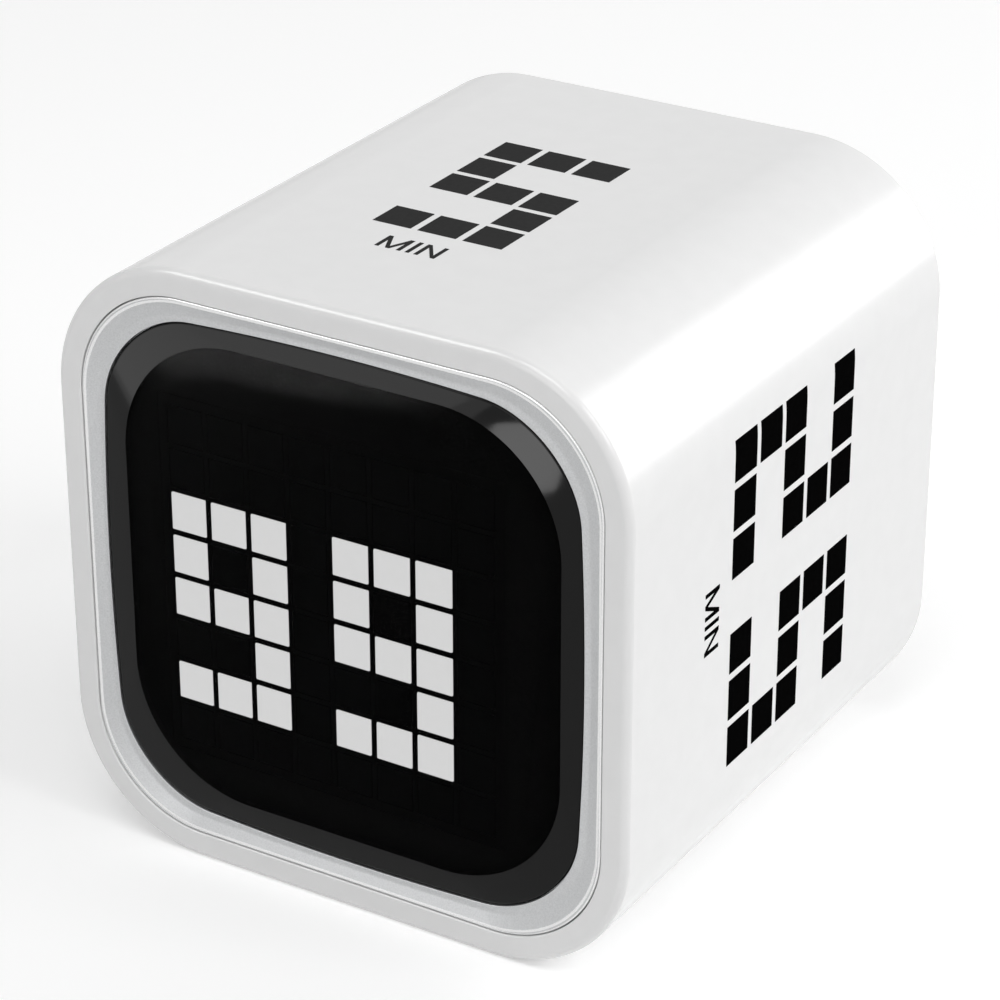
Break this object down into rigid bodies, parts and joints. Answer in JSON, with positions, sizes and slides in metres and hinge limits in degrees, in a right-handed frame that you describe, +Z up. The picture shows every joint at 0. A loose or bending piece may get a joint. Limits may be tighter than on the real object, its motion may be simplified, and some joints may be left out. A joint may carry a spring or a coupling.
{
  "type": "cube timer",
  "caption": "Cube countdown timer: white rounded sleeve with pixel numerals on its sides, dark display window in a silver frame, and a rear cover with buttons, power slide and charging port.",
  "frame": {"origin": "middle of the face that the cube stands on", "axes": "+Z up, +Y from the display to the rear cover, +X to the right for someone facing the display"},
  "size_m": [0.06, 0.06, 0.06],
  "materials": {
    "white_shell": "polished moulded ABS",
    "black_inlay": "gloss black second shot",
    "silver_frame": "fine satin silver paint",
    "smoked_window": "polished smoked acrylic",
    "adhesive": "black foam adhesive",
    "black_plastic": "matte moulded",
    "milky_plastic": "translucent white",
    "white_matte": "fine moulded texture",
    "led_resin": "clear resin over phosphor",
    "circuit_board": "solder mask",
    "connector_plastic": "moulded nylon",
    "screw_steel": "zinc plated",
    "button_plastic": "fine moulded texture",
    "knob_plastic": "fine moulded texture",
    "shell_steel": "nickel plated",
    "foam": "open cell foam",
    "chip_resin": "moulded resin",
    "ribbon_film": "white film",
    "battery_foil": "laminated foil pouch",
    "lead_insulation": "soft insulation"
  },
  "bodies": {
    "case": {"sleeve": "white_shell", "top_numeral": "black_inlay", "right_numeral": "black_inlay", "bottom_numeral": "black_inlay", "left_numeral": "black_inlay", "front_bezel": "silver_frame", "lens": "smoked_window", "lens_tape": "adhesive", "pixel_mask": "black_plastic", "light_guide": "milky_plastic", "reflector_grid": "white_matte", "led_chips": "led_resin", "led_board": "circuit_board", "led_connector": "connector_plastic", "display_screws": "screw_steel", "back_cover": "white_matte", "cover_screws": "screw_steel", "tact_switches": "black_plastic", "slide_switch": "black_plastic", "usb_shell": "shell_steel", "usb_tongue": "black_plastic", "buzzer": "black_plastic", "buzzer_gasket": "foam", "main_board": "circuit_board", "board_screws": "screw_steel", "board_connector": "connector_plastic", "mcu": "chip_resin", "motion_sensor": "chip_resin", "charger_chip": "chip_resin", "ribbon_cable": "ribbon_film", "battery": "battery_foil", "battery_tape": "adhesive", "battery_leads": "lead_insulation", "battery_plug": "connector_plastic", "battery_socket": "connector_plastic"},
    "minus_key": {"minus_button": "button_plastic", "minus_plunger": "black_plastic"},
    "start_key": {"start_button": "button_plastic", "start_plunger": "black_plastic"},
    "plus_key": {"plus_button": "button_plastic", "plus_plunger": "black_plastic"},
    "power_slide": {"slide_knob": "knob_plastic"}
  },
  "joints": [
    {"name": "minus_press", "type": "slide", "parent": "case", "child": "minus_key", "axis": [0, -1, 0], "range_m": [0, 0.0005], "stiffness_N_per_m": 800},
    {"name": "start_press", "type": "slide", "parent": "case", "child": "start_key", "axis": [0, -1, 0], "range_m": [0, 0.0005], "stiffness_N_per_m": 800},
    {"name": "plus_press", "type": "slide", "parent": "case", "child": "plus_key", "axis": [0, -1, 0], "range_m": [0, 0.0005], "stiffness_N_per_m": 800},
    {"name": "power_slide_travel", "type": "slide", "parent": "case", "child": "power_slide", "axis": [-1, 0, 0], "range_m": [0, 0.003]}
  ]
}
